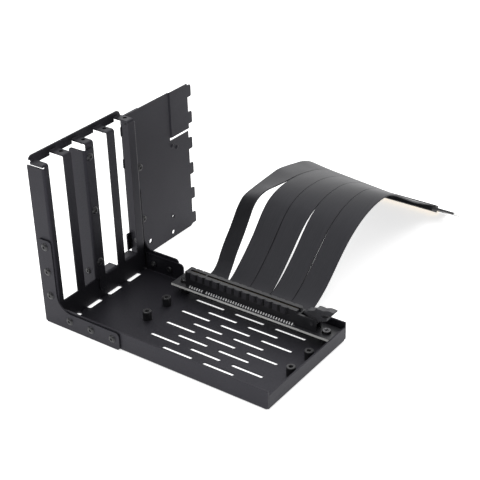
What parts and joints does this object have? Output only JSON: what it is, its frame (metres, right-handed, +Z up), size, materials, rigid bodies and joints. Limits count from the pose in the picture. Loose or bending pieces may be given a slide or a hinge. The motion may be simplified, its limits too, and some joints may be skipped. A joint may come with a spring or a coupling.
{
  "type": "vertical graphics card mount",
  "caption": "Folded steel tray with an upright frame of expansion slot openings, a hooked side plate, and a riser socket on a split ribbon cable.",
  "frame": {"origin": "under the middle of the metalwork, on the surface that the tray stands on", "axes": "+Z up, +X along the tray away from the slot frame, +Y towards the hook plate and the ribbon"},
  "size_m": [0.1788, 0.2766, 0.1192],
  "materials": {
    "black_steel": "fine-grained black powder coat",
    "black_rivet": "satin black",
    "post_steel": "satin black",
    "board_laminate": "black solder mask over pale laminate",
    "insulator_foam": "matt foam",
    "socket_plastic": "moulded, matt",
    "latch_plastic": "moulded, matt",
    "contact_gold": "gold plated",
    "tinned_metal": "tinned",
    "screw_steel": "black zinc, worn bright on the edges",
    "ribbon_jacket": "matt dark film with a fine lengthwise grain"
  },
  "bodies": {
    "mount": {"tray": "black_steel", "slot_frame": "black_steel", "bar_stiffener": "black_steel", "hook_plate": "black_steel", "near_gusset": "black_steel", "far_gusset": "black_steel", "near_gusset_rivets": "black_rivet", "far_gusset_rivets": "black_rivet", "stiffener_rivets": "black_rivet", "plate_rivets": "black_rivet", "card_posts": "post_steel", "board_posts": "post_steel", "socket_board": "board_laminate", "board_insulator": "insulator_foam", "socket_housing": "socket_plastic", "socket_contacts": "contact_gold", "contact_feet": "tinned_metal", "board_screw_left": "screw_steel", "board_screw_right": "screw_steel", "ribbon_strip_1": "ribbon_jacket", "ribbon_strip_2": "ribbon_jacket", "ribbon_strip_3": "ribbon_jacket", "ribbon_strip_4": "ribbon_jacket", "ribbon_strip_5": "ribbon_jacket", "solder_cover": "socket_plastic", "plug_board": "board_laminate", "plug_fingers": "contact_gold", "plug_cover": "socket_plastic"},
    "latch": {"socket_latch": "latch_plastic"}
  },
  "joints": [
    {"name": "latch_hinge", "type": "hinge", "parent": "mount", "child": "latch", "pos_m": [0.07255, -0.0027, 0.0145], "axis": [0, 1, 0], "range_deg": [0, 30]}
  ]
}
